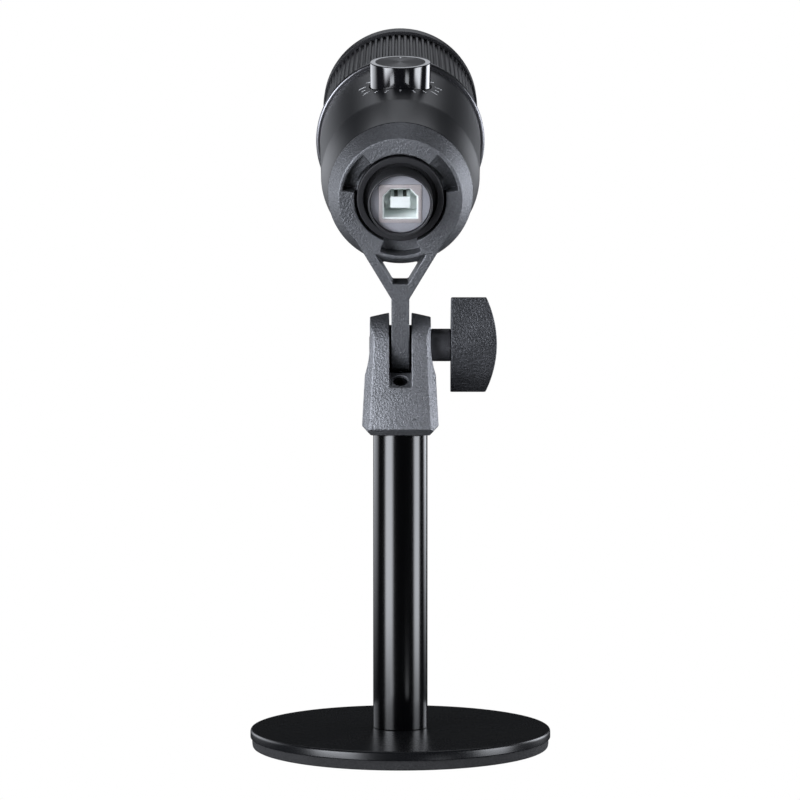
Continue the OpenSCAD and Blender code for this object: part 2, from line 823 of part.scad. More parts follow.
module grille_sleeve() {
    seam = 0.3;
    color("black") on_mic() difference() {
        union() {
            slab(lip_s + seam, sleeve_s1) polygon(rib_points());
            drum(spigot_r, spigot_s, lip_s + seam, spigot_in);
            intersection() {
                drum(spigot_in + 0.5, spigot_s, lip_s);
                for (x = [-lug_x, lug_x]) translate([x, 0, 0]) rod_s(lug_r, spigot_s, lip_s);
            }
        }
        drum(sleeve_in, lip_s, sleeve_s1 + 1);
        for (x = [-lug_x, lug_x]) translate([x, 0, 0]) rod_s(1.17, spigot_s + 1, lip_s + 1);
    }
}

module capsule_holder() {
    color("dimgray") on_mic() difference() {
        union() {
            drum(holder_r, lip_s, lip_s + holder_t);
            for (i = [0:2]) rotate([0, 60 + 120 * i, 0])
                translate([0, 0, holder_cup_r]) rod_s(2, lip_s + 1, cup_s + 1);
            drum(holder_cup_r + holder_cup_wall, cup_s, capsule_s + capsule_t * 0.8);
        }
        drum(holder_cup_r, cup_s + 1.5, capsule_s + capsule_t + 1);
        drum(6, cup_s - 1, cup_s + 3);
        for (i = [0:2]) rotate([0, 120 * i, 0])
            translate([0, 0, window_x]) rod_s(window_r, lip_s - 1, lip_s + holder_t + 1);
        for (x = [-lug_x, lug_x]) translate([x, 0, 0]) rod_s(1.25, lip_s - 1, lip_s + holder_t + 1);
    }
}

module holder_screws() {
    color("silver") on_mic() for (x = [-lug_x, lug_x]) translate([x, 0, 0]) {
        rod_s(1.15, spigot_s + 1.4, lip_s + holder_t + 0.5);
        rod_s(1.9, lip_s + holder_t, lip_s + holder_t + 1.3);
    }
}

module capsule_boot() {
    color("black") on_mic() turned([
        [6, cup_s + 1.5], [holder_cup_r - 0.02, cup_s + 1.5],
        [holder_cup_r - 0.02, capsule_s + capsule_t * 0.8], [capsule_r + 0.02, capsule_s + capsule_t * 0.8],
        [capsule_r + 0.02, capsule_s], [6, capsule_s]]);
}

module capsule() {
    rim = 1;
    color("silver") on_mic() union() {
        drum(capsule_r, capsule_s, capsule_s + capsule_t - 0.6);
        drum(capsule_r, capsule_s + capsule_t - 0.7, capsule_s + capsule_t, capsule_r - rim);
    }
}

// Two leads from the board's upper face to the back of the capsule.
module capsule_leads() {
    lead_r = 0.5;
    high = board_top + lead_r;
    low = 3;
    drop = high - low;
    lap = 0.2;
    s1 = lip_s + 6;
    color("red") on_mic() for (x = [-1.4, 1.4]) translate([x, 0, 0]) {
        translate([0, 0, high]) rod_s(lead_r, board_s1 - 3, s1 + lap);
        translate([0, s1, high]) rotate([-135, 0, 0]) translate([0, 0, -lap])
            cylinder(r = lead_r, h = drop * sqrt(2) + 2 * lap);
        translate([0, 0, low]) rod_s(lead_r, s1 + drop - lap, capsule_s);
    }
}

module windscreen_foam() {
    color("black") on_mic() turned([
        [0, foam_s], [foam_r, foam_s], [foam_r, mesh_s - 0.4], [0, mesh_s - 0.4]]);
}

// Domed disc with a flat flange; its holes are too small to be drawn here.
module front_mesh() {
    span = mesh_r - 1.2;
    dome_r = (span * span + dome_h * dome_h) / (2 * dome_h);
    crown = asin(span / dome_r);
    color("dimgray") on_mic() turned(concat(
        [[mesh_r, mesh_s], [mesh_r, mesh_s + mesh_t]],
        arc_points(0, mesh_s + mesh_t + dome_h - dome_r, dome_r, 90 - crown, 90, 16),
        arc_points(0, mesh_s + mesh_t + dome_h - dome_r, dome_r - mesh_t, 90, 90 - crown, 16),
        [[span - 0.2, mesh_s]]));
}

module front_ring() {
    tail = 4;
    color("black") on_mic() turned(concat(
        [[mesh_r - 2.5, sleeve_s1 - tail], [sleeve_in - 0.05, sleeve_s1 - tail],
         [sleeve_in - 0.05, sleeve_s1], [front_r - 0.3, sleeve_s1], [front_r, sleeve_s1 + 0.3]],
        arc_points(front_r - front_edge_r, front_s1 - front_edge_r, front_edge_r, 0, 90, 6),
        [[front_r - front_lip, front_s1], [front_r - front_lip - 0.4, front_s1 - 0.4],
         [front_r - front_lip - 0.4, mesh_s + mesh_t], [mesh_r + 0.02, mesh_s + mesh_t],
         [mesh_r + 0.02, mesh_s], [mesh_r - 1.2, mesh_s], [mesh_r - 2.5, mesh_s - 2]]));
}

foot_pad();
base_plate();
base_screw();
pole_tube();
pole_foot_plug();
pole_top_stud();
clevis();
clevis_insert();
clevis_grub_screw();
hinge_nut();
friction_washers();
knob_collar();
thumb_knob();
hinge_bolt();
cradle_bracket();
lock_ring();
rear_shell();
tail_boss();
port_plate();
usb_shell();
usb_insulator();
usb_contacts();
usb_board();
usb_board_screws();
board_header();
main_board();
board_parts();
board_screws();
potentiometer();
dial_shaft();
volume_dial();
trim_ring();
grille_sleeve();
capsule_holder();
holder_screws();
capsule_boot();
capsule();
capsule_leads();
windscreen_foam();
front_mesh();
front_ring();
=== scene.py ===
# Looks of the desktop microphone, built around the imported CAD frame.
# Lengths are in millimetres unless a name says otherwise; MM turns them into metres.
# Shapes of the microphone are drawn in its own frame, as in the CAD: +Y runs forward
# along the barrel from the cradle ring's rear face, and +Z points to the volume dial.
import json
import math

import bmesh
import bpy
from mathutils import Matrix, Vector


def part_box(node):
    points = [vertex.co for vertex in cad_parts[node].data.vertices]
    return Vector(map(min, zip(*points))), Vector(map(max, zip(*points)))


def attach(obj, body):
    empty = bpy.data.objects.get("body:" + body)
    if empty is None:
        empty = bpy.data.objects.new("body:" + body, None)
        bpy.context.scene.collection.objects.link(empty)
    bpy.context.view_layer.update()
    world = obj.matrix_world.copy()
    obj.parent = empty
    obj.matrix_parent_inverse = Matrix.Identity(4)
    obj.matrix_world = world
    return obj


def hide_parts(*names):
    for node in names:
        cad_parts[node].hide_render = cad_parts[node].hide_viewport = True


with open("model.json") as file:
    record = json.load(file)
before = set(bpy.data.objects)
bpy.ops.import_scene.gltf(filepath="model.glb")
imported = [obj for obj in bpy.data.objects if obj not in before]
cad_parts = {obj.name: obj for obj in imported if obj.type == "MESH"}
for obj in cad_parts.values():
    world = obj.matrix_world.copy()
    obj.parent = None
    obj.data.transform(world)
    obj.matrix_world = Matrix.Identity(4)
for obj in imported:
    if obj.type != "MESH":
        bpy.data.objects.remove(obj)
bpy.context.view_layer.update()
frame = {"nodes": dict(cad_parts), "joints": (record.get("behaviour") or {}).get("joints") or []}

MM = 0.001
NODES = frame["nodes"]
JOINTS = {j["name"]: j for j in frame["joints"]}

# ---- places ----

ACROSS = Vector((1, 0, 0))
DIAL_UP = Vector(JOINTS["dial_turn"]["axis"]).normalized()
FORWARD = DIAL_UP.cross(ACROSS)
HINGE = Vector(JOINTS["tilt"]["pos_m"])


def basis(origin, x, y, z):
    """A matrix from millimetres along x, y and z to metres in the row frame."""
    m = Matrix((x, y, z)).transposed().to_4x4()
    return Matrix.Translation(origin) @ m @ Matrix.Scale(MM, 4)


def spread(node, direction):
    """Lowest and highest place of a CAD node along a direction, in metres."""
    along = [v.co.dot(direction) for v in NODES[node].data.vertices]
    return min(along), max(along)


trim_low, trim_high = spread("trim_ring", DIAL_UP)
MIC_ORIGIN = DIAL_UP * (trim_low + trim_high) / 2 + FORWARD * spread("cradle_bracket", FORWARD)[0]
MIC = basis(MIC_ORIGIN, ACROSS, FORWARD, DIAL_UP)
BARREL = MIC @ Matrix.Rotation(-math.pi / 2, 4, "X")
UPRIGHT = Matrix.Scale(MM, 4)
AT_HINGE = basis(HINGE, Vector((0, 1, 0)), Vector((0, 0, 1)), ACROSS)


def stations(node):
    """Where a CAD node starts and ends along the barrel, in millimetres."""
    start = MIC_ORIGIN.dot(FORWARD)
    return [(s - start) / MM for s in spread(node, FORWARD)]


def reach(node):
    """Radius of a CAD node that is round about the barrel, in millimetres."""
    low, high = spread(node, ACROSS)
    return (high - low) / 2 / MM


# ---- materials ----


def wire(tree, a, out, b, inp):
    """Joins an output of one node to an input of another."""
    tree.links.new(a.outputs[out], b.inputs[inp])


def noise(tree, where, scale, detail=2.0):
    """A noise texture in the piece's own coordinates."""
    n = tree.nodes.new("ShaderNodeTexNoise")
    n.inputs["Scale"].default_value = scale
    n.inputs["Detail"].default_value = detail
    wire(tree, where, "Object", n, "Vector")
    return n


def material(name, color, rough, metal=0.0, grain=0.3, depth=0.01, mottle=0.15, patch=9.0,
             spread_rough=0.06, coat=0.0, coat_rough=0.1, specular=0.5, cells=False,
             anisotropic=0.0):
    """A procedural finish: grain is the size of its texture and patch that of its slow
    colour change, both in millimetres, and depth is how far the texture stands up."""
    m = bpy.data.materials.new(name)
    m.use_nodes = True
    t = m.node_tree
    s = t.nodes["Principled BSDF"]
    s.inputs["Metallic"].default_value = metal
    s.inputs["Specular IOR Level"].default_value = specular
    s.inputs["Coat Weight"].default_value = coat
    s.inputs["Coat Roughness"].default_value = coat_rough
    s.inputs["Anisotropic"].default_value = anisotropic
    where = t.nodes.new("ShaderNodeTexCoord")
    slow = noise(t, where, 1 / (patch * MM), 3.0)
    fine = noise(t, where, 1 / (grain * MM))
    ramp = t.nodes.new("ShaderNodeValToRGB")
    dark = [c * (1 - mottle) for c in color]
    light = [c * (1 + mottle) for c in color]
    ramp.color_ramp.elements[0].position = 0.3
    ramp.color_ramp.elements[0].color = (*dark, 1)
    ramp.color_ramp.elements[1].position = 0.7
    ramp.color_ramp.elements[1].color = (*light, 1)
    both = t.nodes.new("ShaderNodeMath")
    both.operation = "MULTIPLY_ADD"
    both.inputs[1].default_value = 0.5
    wire(t, slow, "Fac", both, 0)
    half = t.nodes.new("ShaderNodeMath")
    half.operation = "MULTIPLY"
    half.inputs[1].default_value = 0.5
    wire(t, fine, "Fac", half, 0)
    wire(t, half, "Value", both, 2)
    wire(t, both, "Value", ramp, "Fac")
    wire(t, ramp, "Color", s, "Base Color")
    vary = t.nodes.new("ShaderNodeMapRange")
    vary.inputs["To Min"].default_value = max(rough - spread_rough, 0.02)
    vary.inputs["To Max"].default_value = min(rough + spread_rough, 1.0)
    wire(t, both, "Value", vary, "Value")
    wire(t, vary, "Result", s, "Roughness")
    height = fine
    if cells:
        height = t.nodes.new("ShaderNodeTexVoronoi")
        height.inputs["Scale"].default_value = 1 / (grain * MM)
        wire(t, where, "Object", height, "Vector")
    bump = t.nodes.new("ShaderNodeBump")
    bump.inputs["Strength"].default_value = 1.0
    bump.inputs["Distance"].default_value = depth * MM
    wire(t, height, "Distance" if cells else "Fac", bump, "Height")
    wire(t, bump, "Normal", s, "Normal")
    return m


LOOKS = {
    "foam_rubber": material("closed_foam", (0.020, 0.020, 0.021), 0.95, grain=0.7, depth=0.12,
                            cells=True, mottle=0.35, patch=4),
    "base_paint": material("powder_coat", (0.005, 0.0053, 0.0062), 0.27, grain=0.35,
                           depth=0.0012, patch=30, spread_rough=0.04, specular=0.4),
    "pole_lacquer": material("pole_lacquer", (0.0009, 0.0009, 0.0012), 0.17, grain=1.5,
                             depth=0.0008, spread_rough=0.02),
    "plain_steel": material("zinc_steel", (0.3, 0.31, 0.33), 0.42, metal=1, grain=0.2,
                            depth=0.002),
    "brass_insert": material("brass", (0.72, 0.52, 0.22), 0.3, metal=1, grain=0.2, depth=0.002),
    "stand_plastic": material("texture_coat", (0.228, 0.233, 0.246), 0.58, metal=1, grain=0.6,
                              depth=0.25, mottle=0.25, patch=14),
    "knob_plastic": material("knob_grip", (0.088, 0.09, 0.096), 0.52, metal=1, grain=0.6,
                             depth=0.25, mottle=0.35, patch=8),
    "washer_plastic": material("nylon", (0.012, 0.012, 0.012), 0.6),
    "collar_black": material("turned_black", (0.05, 0.05, 0.054), 0.34, grain=0.8, depth=0.001,
                             coat=0.3),
    "barrel_satin": material("barrel_satin", (0.009, 0.0095, 0.011), 0.4, grain=0.5,
                             depth=0.0015, patch=25, spread_rough=0.02, specular=0.45),
    "trim_gloss": material("lip_satin", (0.16, 0.16, 0.17), 0.3, metal=1, grain=0.3, depth=0.001),
    "grille_black": material("grille_satin", (0.018, 0.018, 0.02), 0.4, grain=0.2, depth=0.003,
                             specular=0.26),
    "ring_plastic": material("ring_matt", (0.018, 0.018, 0.02), 0.55, grain=0.2, depth=0.006,
                             specular=0.34),
    "boss_plastic": material("boss_satin", (0.022, 0.022, 0.024), 0.4, grain=0.3, depth=0.003,
                             specular=0.7),
    "port_plastic": material("port_matt", (0.32, 0.32, 0.35), 0.5, grain=0.25, depth=0.005),
    "socket_metal": material("nickel", (0.5, 0.46, 0.46), 0.35, metal=0.25, grain=0.3, depth=0.003),
    "socket_white": material("white_moulding", (0.9, 0.95, 0.93), 0.35, grain=0.6, depth=0.001,
                             mottle=0.03),
    # The contacts' plating is darkened to near black: painted shade, standing in for the shade
    # inside their channels.
    "contact_gold": material("contact_plate_painted_shade", (0.07, 0.065, 0.05), 0.4, metal=1, depth=0.001),
    "board_green": material("board_mask", (0.02, 0.12, 0.05), 0.3, grain=1.2, depth=0.01),
    "chip_black": material("chip_epoxy", (0.02, 0.02, 0.02), 0.6, grain=0.2),
    "pot_blue": material("phenolic", (0.06, 0.13, 0.26), 0.4, grain=0.5),
    "dial_gloss": material("dial_gloss", (0.004, 0.004, 0.005), 0.12, grain=2.0, depth=0.0008,
                           coat=0.6, coat_rough=0.06, spread_rough=0.02),
    "holder_plastic": material("holder_plastic", (0.03, 0.03, 0.03), 0.5),
    "boot_rubber": material("boot_rubber", (0.015, 0.015, 0.015), 0.8, depth=0.02),
    "capsule_metal": material("bare_can", (0.7, 0.7, 0.71), 0.25, metal=1, depth=0.002),
    "lead_red": material("wire_red", (0.42, 0.03, 0.03), 0.4),
    "screen_foam": material("open_foam", (0.012, 0.012, 0.013), 1.0, grain=0.9, depth=0.3,
                            cells=True, mottle=0.5, patch=3),
    "mesh_black": material("mesh_paint", (0.016, 0.016, 0.018), 0.4, grain=0.15, depth=0.004),
}
SPUN = material("spun_face", (0.008, 0.008, 0.009), 0.44, metal=1, grain=0.4, depth=0.001,
                anisotropic=0.7)
# A darker copy of the stand's textured coat: painted shade, since the cradle is the same plastic as
# the clevis.
SHADED_COAT = material("texture_coat_painted_shade", (0.188, 0.193, 0.204), 0.58, metal=1, grain=0.6, depth=0.2,
                  mottle=0.25, patch=14)
POLISHED = material("cut_edge", (0.3, 0.31, 0.325), 0.42, metal=1, grain=0.5, depth=0.001)
OXIDE = material("black_oxide", (0.02, 0.02, 0.022), 0.35, metal=1, grain=0.2, depth=0.002)
PRINT = material("print_white", (0.62, 0.63, 0.64), 0.6, grain=0.2, mottle=0.08)

# ---- building ----


def keep(name, mesh, body, look, nodes=(), skin=None):
    """Turns a finished mesh into a piece on a body, with its look, slot and nodes.
    A skin is a material that is worn instead of the look's own."""
    o = bpy.data.objects.new(name, mesh)
    bpy.context.scene.collection.objects.link(o)
    mesh.materials.clear()
    mesh.materials.append(skin or LOOKS[look])
    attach(o, body)
    if nodes:
        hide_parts(*nodes)
    return o


def shade(mesh, angle=38):
    """Smooth shading that stays sharp where faces meet at more than the angle."""
    for p in mesh.polygons:
        p.use_smooth = True
    mesh.set_sharp_from_angle(angle=math.radians(angle))


def mesh_of(name, points, faces, place):
    """A closed mesh with outward faces, from points in the place's own frame."""
    mesh = bpy.data.meshes.new(name)
    mesh.from_pydata([place @ Vector(p) for p in points], [], faces)
    b = bmesh.new()
    b.from_mesh(mesh)
    bmesh.ops.remove_doubles(b, verts=b.verts, dist=1e-7)
    bmesh.ops.recalc_face_normals(b, faces=b.faces)
    b.to_mesh(mesh)
    b.free()
    shade(mesh)
    return mesh


def softened(outline, closed=True, steps=4):
    """Rounds each corner that carries a radius: points are (a, b) or (a, b, radius)."""
    out = []
    count = len(outline)
    for i, p in enumerate(outline):
        if len(p) < 3 or (not closed and i in (0, count - 1)):
            out.append((p[0], p[1]))
            continue
        at = Vector(p[:2])
        before = Vector(outline[i - 1][:2]) - at
        after = Vector(outline[(i + 1) % count][:2]) - at
        half = before.angle(after) / 2
        run = min(p[2] / math.tan(half), 0.49 * before.length, 0.49 * after.length)
        a = before.normalized() * run
        b = after.normalized() * run
        for k in range(steps + 1):
            u = k / steps
            q = at + a * (1 - u) ** 2 + b * u ** 2
            out.append((q.x, q.y))
    return out


STEPS, FINE_STEPS = 192, 256


def lathe(name, outline, place, steps=STEPS, closed=True, swell=None):
    """Turns an outline of (radius, height) about the place's Z axis. swell gives a
    factor between 0 and 1 for a point's angle, by which radii over a core shrink."""
    points, rings = [], []
    for r, z in outline:
        if r < 1e-6:
            rings.append([len(points)])
            points.append((0, 0, z))
            continue
        rings.append(list(range(len(points), len(points) + steps)))
        for i in range(steps):
            a = 2 * math.pi * i / steps
            q = swell(r, z, i) if swell else r
            points.append((q * math.cos(a), q * math.sin(a), z))
    faces = []
    pairs = list(zip(rings, rings[1:]))
    if closed:
        pairs.append((rings[-1], rings[0]))
    for a, b in pairs:
        for i in range(steps):
            j = (i + 1) % steps
            face = [a[i % len(a)], a[j % len(a)], b[j % len(b)], b[i % len(b)]]
            unique = list(dict.fromkeys(face))
            if len(unique) > 2:
                faces.append(unique)
    return mesh_of(name, points, faces, place)


def prism(name, outline, low, high, place):
    """A flat outline of (x, y) made solid from low to high along the place's Z."""
    n = len(outline)
    points = [(x, y, z) for z in (low, high) for x, y in outline]
    faces = [list(range(n)), list(range(2 * n - 1, n - 1, -1))]
    faces += [[i, (i + 1) % n, n + (i + 1) % n, n + i] for i in range(n)]
    return mesh_of(name, points, faces, place)


def with_modifiers(mesh, *changes):
    """Runs modifiers on a mesh and returns the result as a new mesh."""
    o = bpy.data.objects.new("work", mesh)
    bpy.context.scene.collection.objects.link(o)
    for kind, settings in changes:
        m = o.modifiers.new(kind, kind)
        for key, value in settings.items():
            setattr(m, key, value)
    bpy.context.view_layer.update()
    done = bpy.data.meshes.new_from_object(o.evaluated_get(bpy.context.evaluated_depsgraph_get()))
    bpy.data.objects.remove(o)
    return done


def bevelled(mesh, width, segments=3, angle=30):
    """Rounds the sharp edges of a mesh."""
    done = with_modifiers(mesh, ("BEVEL", {"width": width * MM, "segments": segments,
                                           "limit_method": "ANGLE",
                                           "angle_limit": math.radians(angle)}))
    shade(done)
    return done


# How far a cutting tool reaches past what it cuts.
PAST = 1


def cut(mesh, *tools):
    """Takes the tools' meshes away from a mesh."""
    for tool in tools:
        t = bpy.data.objects.new("tool", tool)
        bpy.context.scene.collection.objects.link(t)
        mesh = with_modifiers(mesh, ("BOOLEAN", {"operation": "DIFFERENCE", "object": t,
                                                 "solver": "EXACT"}))
        bpy.data.objects.remove(t)
    shade(mesh)
    return mesh


def both_of(mesh, other):
    """Only what two meshes share."""
    o = bpy.data.objects.new("tool", other)
    bpy.context.scene.collection.objects.link(o)
    mesh = with_modifiers(mesh, ("BOOLEAN", {"operation": "INTERSECT", "object": o,
                                             "solver": "EXACT"}))
    bpy.data.objects.remove(o)
    return mesh


def joined(name, *meshes):
    """Several meshes as one."""
    b = bmesh.new()
    for mesh in meshes:
        b.from_mesh(mesh)
    done = bpy.data.meshes.new(name)
    b.to_mesh(done)
    b.free()
    shade(done)
    return done


def moulded(name, node, voxel=0.2, rounds=5, share=0.35):
    """A CAD node's shape with softly rounded edges, as a moulding has."""
    mesh = NODES[node].data.copy()
    done = with_modifiers(mesh,
                          ("REMESH", {"mode": "VOXEL", "voxel_size": voxel * MM}),
                          ("SMOOTH", {"factor": 0.5, "iterations": rounds}),
                          ("DECIMATE", {"ratio": share}))
    done.name = name
    for p in done.polygons:
        p.use_smooth = True
    return done


# ---- stand ----

pad_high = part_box("foot_pad")[1]
plate_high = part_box("base_plate")[1]
pole_low, pole_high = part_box("pole_tube")
pad_r, pad_top = pad_high.x / MM, pad_high.z / MM
plate_r, plate_top = plate_high.x / MM, plate_high.z / MM
pole_r, pole_foot, pole_head = pole_high.x / MM, pole_low.z / MM, pole_high.z / MM

PAD_BULGE = 0.2
pad = lathe("foot_pad_mesh", softened([
    (0, 0), (pad_r - PAD_BULGE, 0, 0.6), (pad_r, pad_top / 2, 2),
    (pad_r - PAD_BULGE, pad_top, 0.3), (0, pad_top)], closed=False), UPRIGHT, closed=False)
foot = keep("foot_pad_foam", pad, "stand", "foam_rubber", ["foot_pad"])

PLATE_EDGE, PLATE_FOOT_EDGE = 0.9, 0.25
plate = lathe("base_plate_mesh", softened([
    (0, pad_top), (plate_r, pad_top, PLATE_FOOT_EDGE), (plate_r, plate_top, PLATE_EDGE),
    (0, plate_top)], closed=False, steps=8), UPRIGHT, steps=FINE_STEPS, closed=False)
keep("base_disc", plate, "stand", "base_paint", ["base_plate"])

POLE_WALL, POLE_EDGE = 1.2, 0.25
tube = lathe("pole_mesh", softened([
    (pole_r, pole_foot, POLE_EDGE), (pole_r, pole_head, POLE_EDGE),
    (pole_r - POLE_WALL, pole_head), (pole_r - POLE_WALL, pole_foot)]), UPRIGHT)
keep("pole", tube, "stand", "pole_lacquer", ["pole_tube"])

# The clevis's front and back bow out, on this radius.
CLEVIS_BOW = 55.0
clevis = moulded("clevis_mesh", "clevis")
clevis_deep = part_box("clevis")[1].y
for v in clevis.vertices:
    v.co.y -= v.co.y / clevis_deep * v.co.x ** 2 / (2 * CLEVIS_BOW * MM)
keep("clevis_moulding", clevis, "stand", "stand_plastic", ["clevis"])

# Low cheeks inside the slot, on both sides of the eye and under the washers, and a sill
# across its far end, clear of the turning eye. Heights are counted from the tilt axis,
# and CHEEK_R keeps the cheeks clear of the washers.
CHEEK_IN, CHEEK_OUT = 2.7, 3.65
CHEEK_NEAR, CHEEK_FAR = 1.7, 8.0
CHEEK_FOOT, CHEEK_TOP = -8.6, -3.0
CHEEK_R, CHEEK_ARC = 6.05, 12
SILL_NEAR, SILL_TOP = 6.0, -5.5
arc_from = math.acos(CHEEK_NEAR / CHEEK_R)
arc_to = math.asin(-CHEEK_TOP / CHEEK_R)
cheek = [(CHEEK_FAR, CHEEK_TOP), (CHEEK_FAR, CHEEK_FOOT), (CHEEK_NEAR, CHEEK_FOOT)]
for i in range(CHEEK_ARC + 1):
    turn = arc_from + (arc_to - arc_from) * i / CHEEK_ARC
    cheek.append((CHEEK_R * math.cos(turn), -CHEEK_R * math.sin(turn)))
sill = [(SILL_NEAR, CHEEK_FOOT), (CHEEK_FAR, CHEEK_FOOT), (CHEEK_FAR, SILL_TOP),
        (SILL_NEAR, SILL_TOP)]
cheeks = joined("cheeks_mesh",
                prism("cheek_right", cheek, CHEEK_IN, CHEEK_OUT, AT_HINGE),
                prism("cheek_left", cheek, -CHEEK_OUT, -CHEEK_IN, AT_HINGE),
                prism("sill", sill, -CHEEK_IN, CHEEK_IN, AT_HINGE))
keep("clevis_cheeks", cheeks, "stand", "stand_plastic")

# ---- clamp ----

collar_low, collar_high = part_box("knob_collar")
collar_r = (collar_high.z - collar_low.z) / 2 / MM
collar_in, collar_out = collar_low.x / MM, collar_high.x / MM
BOLT_R = 2.5
collar = lathe("collar_mesh", softened([
    (BOLT_R, collar_in), (collar_r, collar_in, 0.5), (collar_r, collar_out, 0.45),
    (BOLT_R, collar_out)]), AT_HINGE, steps=128)
keep("collar_turned", collar, "clamp_collar", "collar_black", ["knob_collar"])

keep("knob_wing", moulded("knob_mesh", "thumb_knob", voxel=0.18, rounds=8), "clamp_knob",
     "knob_plastic", ["thumb_knob"])

nut_low, nut_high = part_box("hinge_nut")
nut_face, nut_back = nut_low.x / MM, nut_high.x / MM
nut_r = (nut_high.y - nut_low.y) / 2 / MM
nut_hex = [(nut_r * math.cos(math.radians(a)), nut_r * math.sin(math.radians(a)))
           for a in range(0, 360, 60)]
NUT_EDGE = 0.25
nut_bore = lathe("bore", [(0, nut_face - PAST), (BOLT_R, nut_face - PAST),
                          (BOLT_R, nut_back + PAST), (0, nut_back + PAST)],
                 AT_HINGE, steps=48, closed=False)
nut = bevelled(cut(prism("nut_mesh", nut_hex, nut_face, nut_back, AT_HINGE), nut_bore), NUT_EDGE)
keep("nut_hex", nut, "stand", "plain_steel", ["hinge_nut"])

# ---- cradle ----

# The cradle wears the darker copy of the stand's coat, which is painted shade.
keep("cradle_moulding", moulded("cradle_mesh", "cradle_bracket"), "microphone",
     "stand_plastic", ["cradle_bracket"], skin=SHADED_COAT)

lock_s0, lock_s1 = stations("lock_ring")
lock_r = reach("lock_ring")
NECK_R = 10.4
lock = lathe("lock_mesh", softened([
    (NECK_R, lock_s0, 0.3), (lock_r, lock_s0, 0.35), (lock_r, lock_s1), (NECK_R, lock_s1)]),
    BARREL)
keep("lock_ring_turned", lock, "microphone", "ring_plastic", ["lock_ring"])

# ---- barrel ----

CRADLE_T = 6.2
trim_s0, lip_s = stations("trim_ring")
boss_s0, boss_s1 = stations("tail_boss")
lip_r = reach("trim_ring")
body_r = reach("rear_shell")
EDGE = 0.3
BOSS_R, BOSS_GAP = 9.1, 0.05
BARREL_R0 = 20.8
RIDGE_R, RIDGE_S, RIDGE_ROUND, FLARE = 23.3, 24.0, 14.0, 1.5
WALL, FLOOR_T, CORE_INSET = 1.8, 2, 0.3
NECK_DEEP, NECK_GAP = 1.6, 0.05

dial_foot = Vector(JOINTS["dial_turn"]["pos_m"])
DIAL_S = (dial_foot - MIC_ORIGIN).dot(FORWARD) / MM
DIAL = MIC @ Matrix.Translation((0, DIAL_S, 0))
dial_low, dial_top = [(k - MIC_ORIGIN.dot(DIAL_UP)) / MM for k in spread("volume_dial", DIAL_UP)]
dial_r = reach("volume_dial")
CUP_GAP, CUP_WALL, CUP_BASE, CUP_HIGH, WELL_HIGH, DIAL_GAP = 0.35, 1.3, 1.5, 9, 12, 0.3
cup_r = dial_r + CUP_GAP
cup_floor = dial_low - DIAL_GAP

# The shoulder flares out from the ring before it turns into the long cone.
SHOULDER = [(BARREL_R0 + (RIDGE_R - BARREL_R0) * u ** FLARE,
             CRADLE_T + (RIDGE_S - CRADLE_T) * u) for u in [i / 10 for i in range(1, 9)]]
outer = softened([
    (0, CRADLE_T + CORE_INSET), (BARREL_R0, CRADLE_T + CORE_INSET), *SHOULDER,
    (RIDGE_R, RIDGE_S, RIDGE_ROUND), (body_r, trim_s0, 0.2), (0, trim_s0)],
    closed=False, steps=8)
shell = lathe("shell_mesh", softened([
    (BOSS_R + BOSS_GAP, NECK_DEEP), (NECK_R - NECK_GAP, NECK_DEEP, 0.1),
    (NECK_R - NECK_GAP, CRADLE_T),
    (BARREL_R0, CRADLE_T, 0.3), *SHOULDER, (RIDGE_R, RIDGE_S, RIDGE_ROUND),
    (body_r, trim_s0 - EDGE, 0.1),
    (body_r - EDGE, trim_s0), (body_r - WALL, trim_s0), (RIDGE_R - WALL, RIDGE_S),
    (BARREL_R0 - WALL, CRADLE_T + FLOOR_T), (BOSS_R + BOSS_GAP, CRADLE_T + FLOOR_T)], steps=8),
    BARREL, steps=FINE_STEPS)
well = lathe("well", [(0, cup_floor), (cup_r, cup_floor), (cup_r, cup_floor + WELL_HIGH),
                      (0, cup_floor + WELL_HIGH)], DIAL, steps=128, closed=False)
cup = lathe("cup", [(0, cup_floor - CUP_BASE), (cup_r + CUP_WALL, cup_floor - CUP_BASE),
                    (cup_r + CUP_WALL, cup_floor + CUP_HIGH), (0, cup_floor + CUP_HIGH)],
            DIAL, steps=128, closed=False)
cup = both_of(cup, lathe("core", outer, BARREL, steps=FINE_STEPS, closed=False))
keep("barrel_shell", joined("barrel_mesh", cut(shell, well), cut(cup, well)), "microphone",
     "barrel_satin", ["rear_shell"])

# The barrel's front edge is turned bright, as a thin band that stands LINE_RISE proud.
LINE_RISE, LINE_SINK, LINE_EASE = 0.03, 0.1, 0.02
edge_line = lathe("edge_mesh", [
    (body_r - LINE_SINK - LINE_EASE, trim_s0 - EDGE - LINE_SINK),
    (body_r + LINE_RISE, trim_s0 - EDGE - LINE_SINK),
    (body_r + LINE_RISE, trim_s0 - EDGE + LINE_SINK - LINE_EASE),
    (body_r - EDGE + LINE_EASE, trim_s0 + LINE_RISE),
    (body_r - EDGE - LINE_SINK, trim_s0 + LINE_RISE)], BARREL, steps=FINE_STEPS)
keep("edge_line", edge_line, "microphone", "trim_gloss", skin=POLISHED)

GROOVE_W, GROOVE_DEEP, BEAD_R, TRIM_IN = 0.35, 0.6, 0.9, 1.1
trim = lathe("trim_mesh", softened([
    (body_r - TRIM_IN, trim_s0), (body_r - GROOVE_DEEP, trim_s0),
    (body_r - GROOVE_DEEP, trim_s0 + GROOVE_W), (lip_r, trim_s0 + GROOVE_W, BEAD_R),
    (lip_r, lip_s, 0.3), (body_r - TRIM_IN, lip_s)], steps=8), BARREL, steps=FINE_STEPS)
keep("lip_ring", trim, "microphone", "trim_gloss", ["trim_ring"])

# ---- dial ----

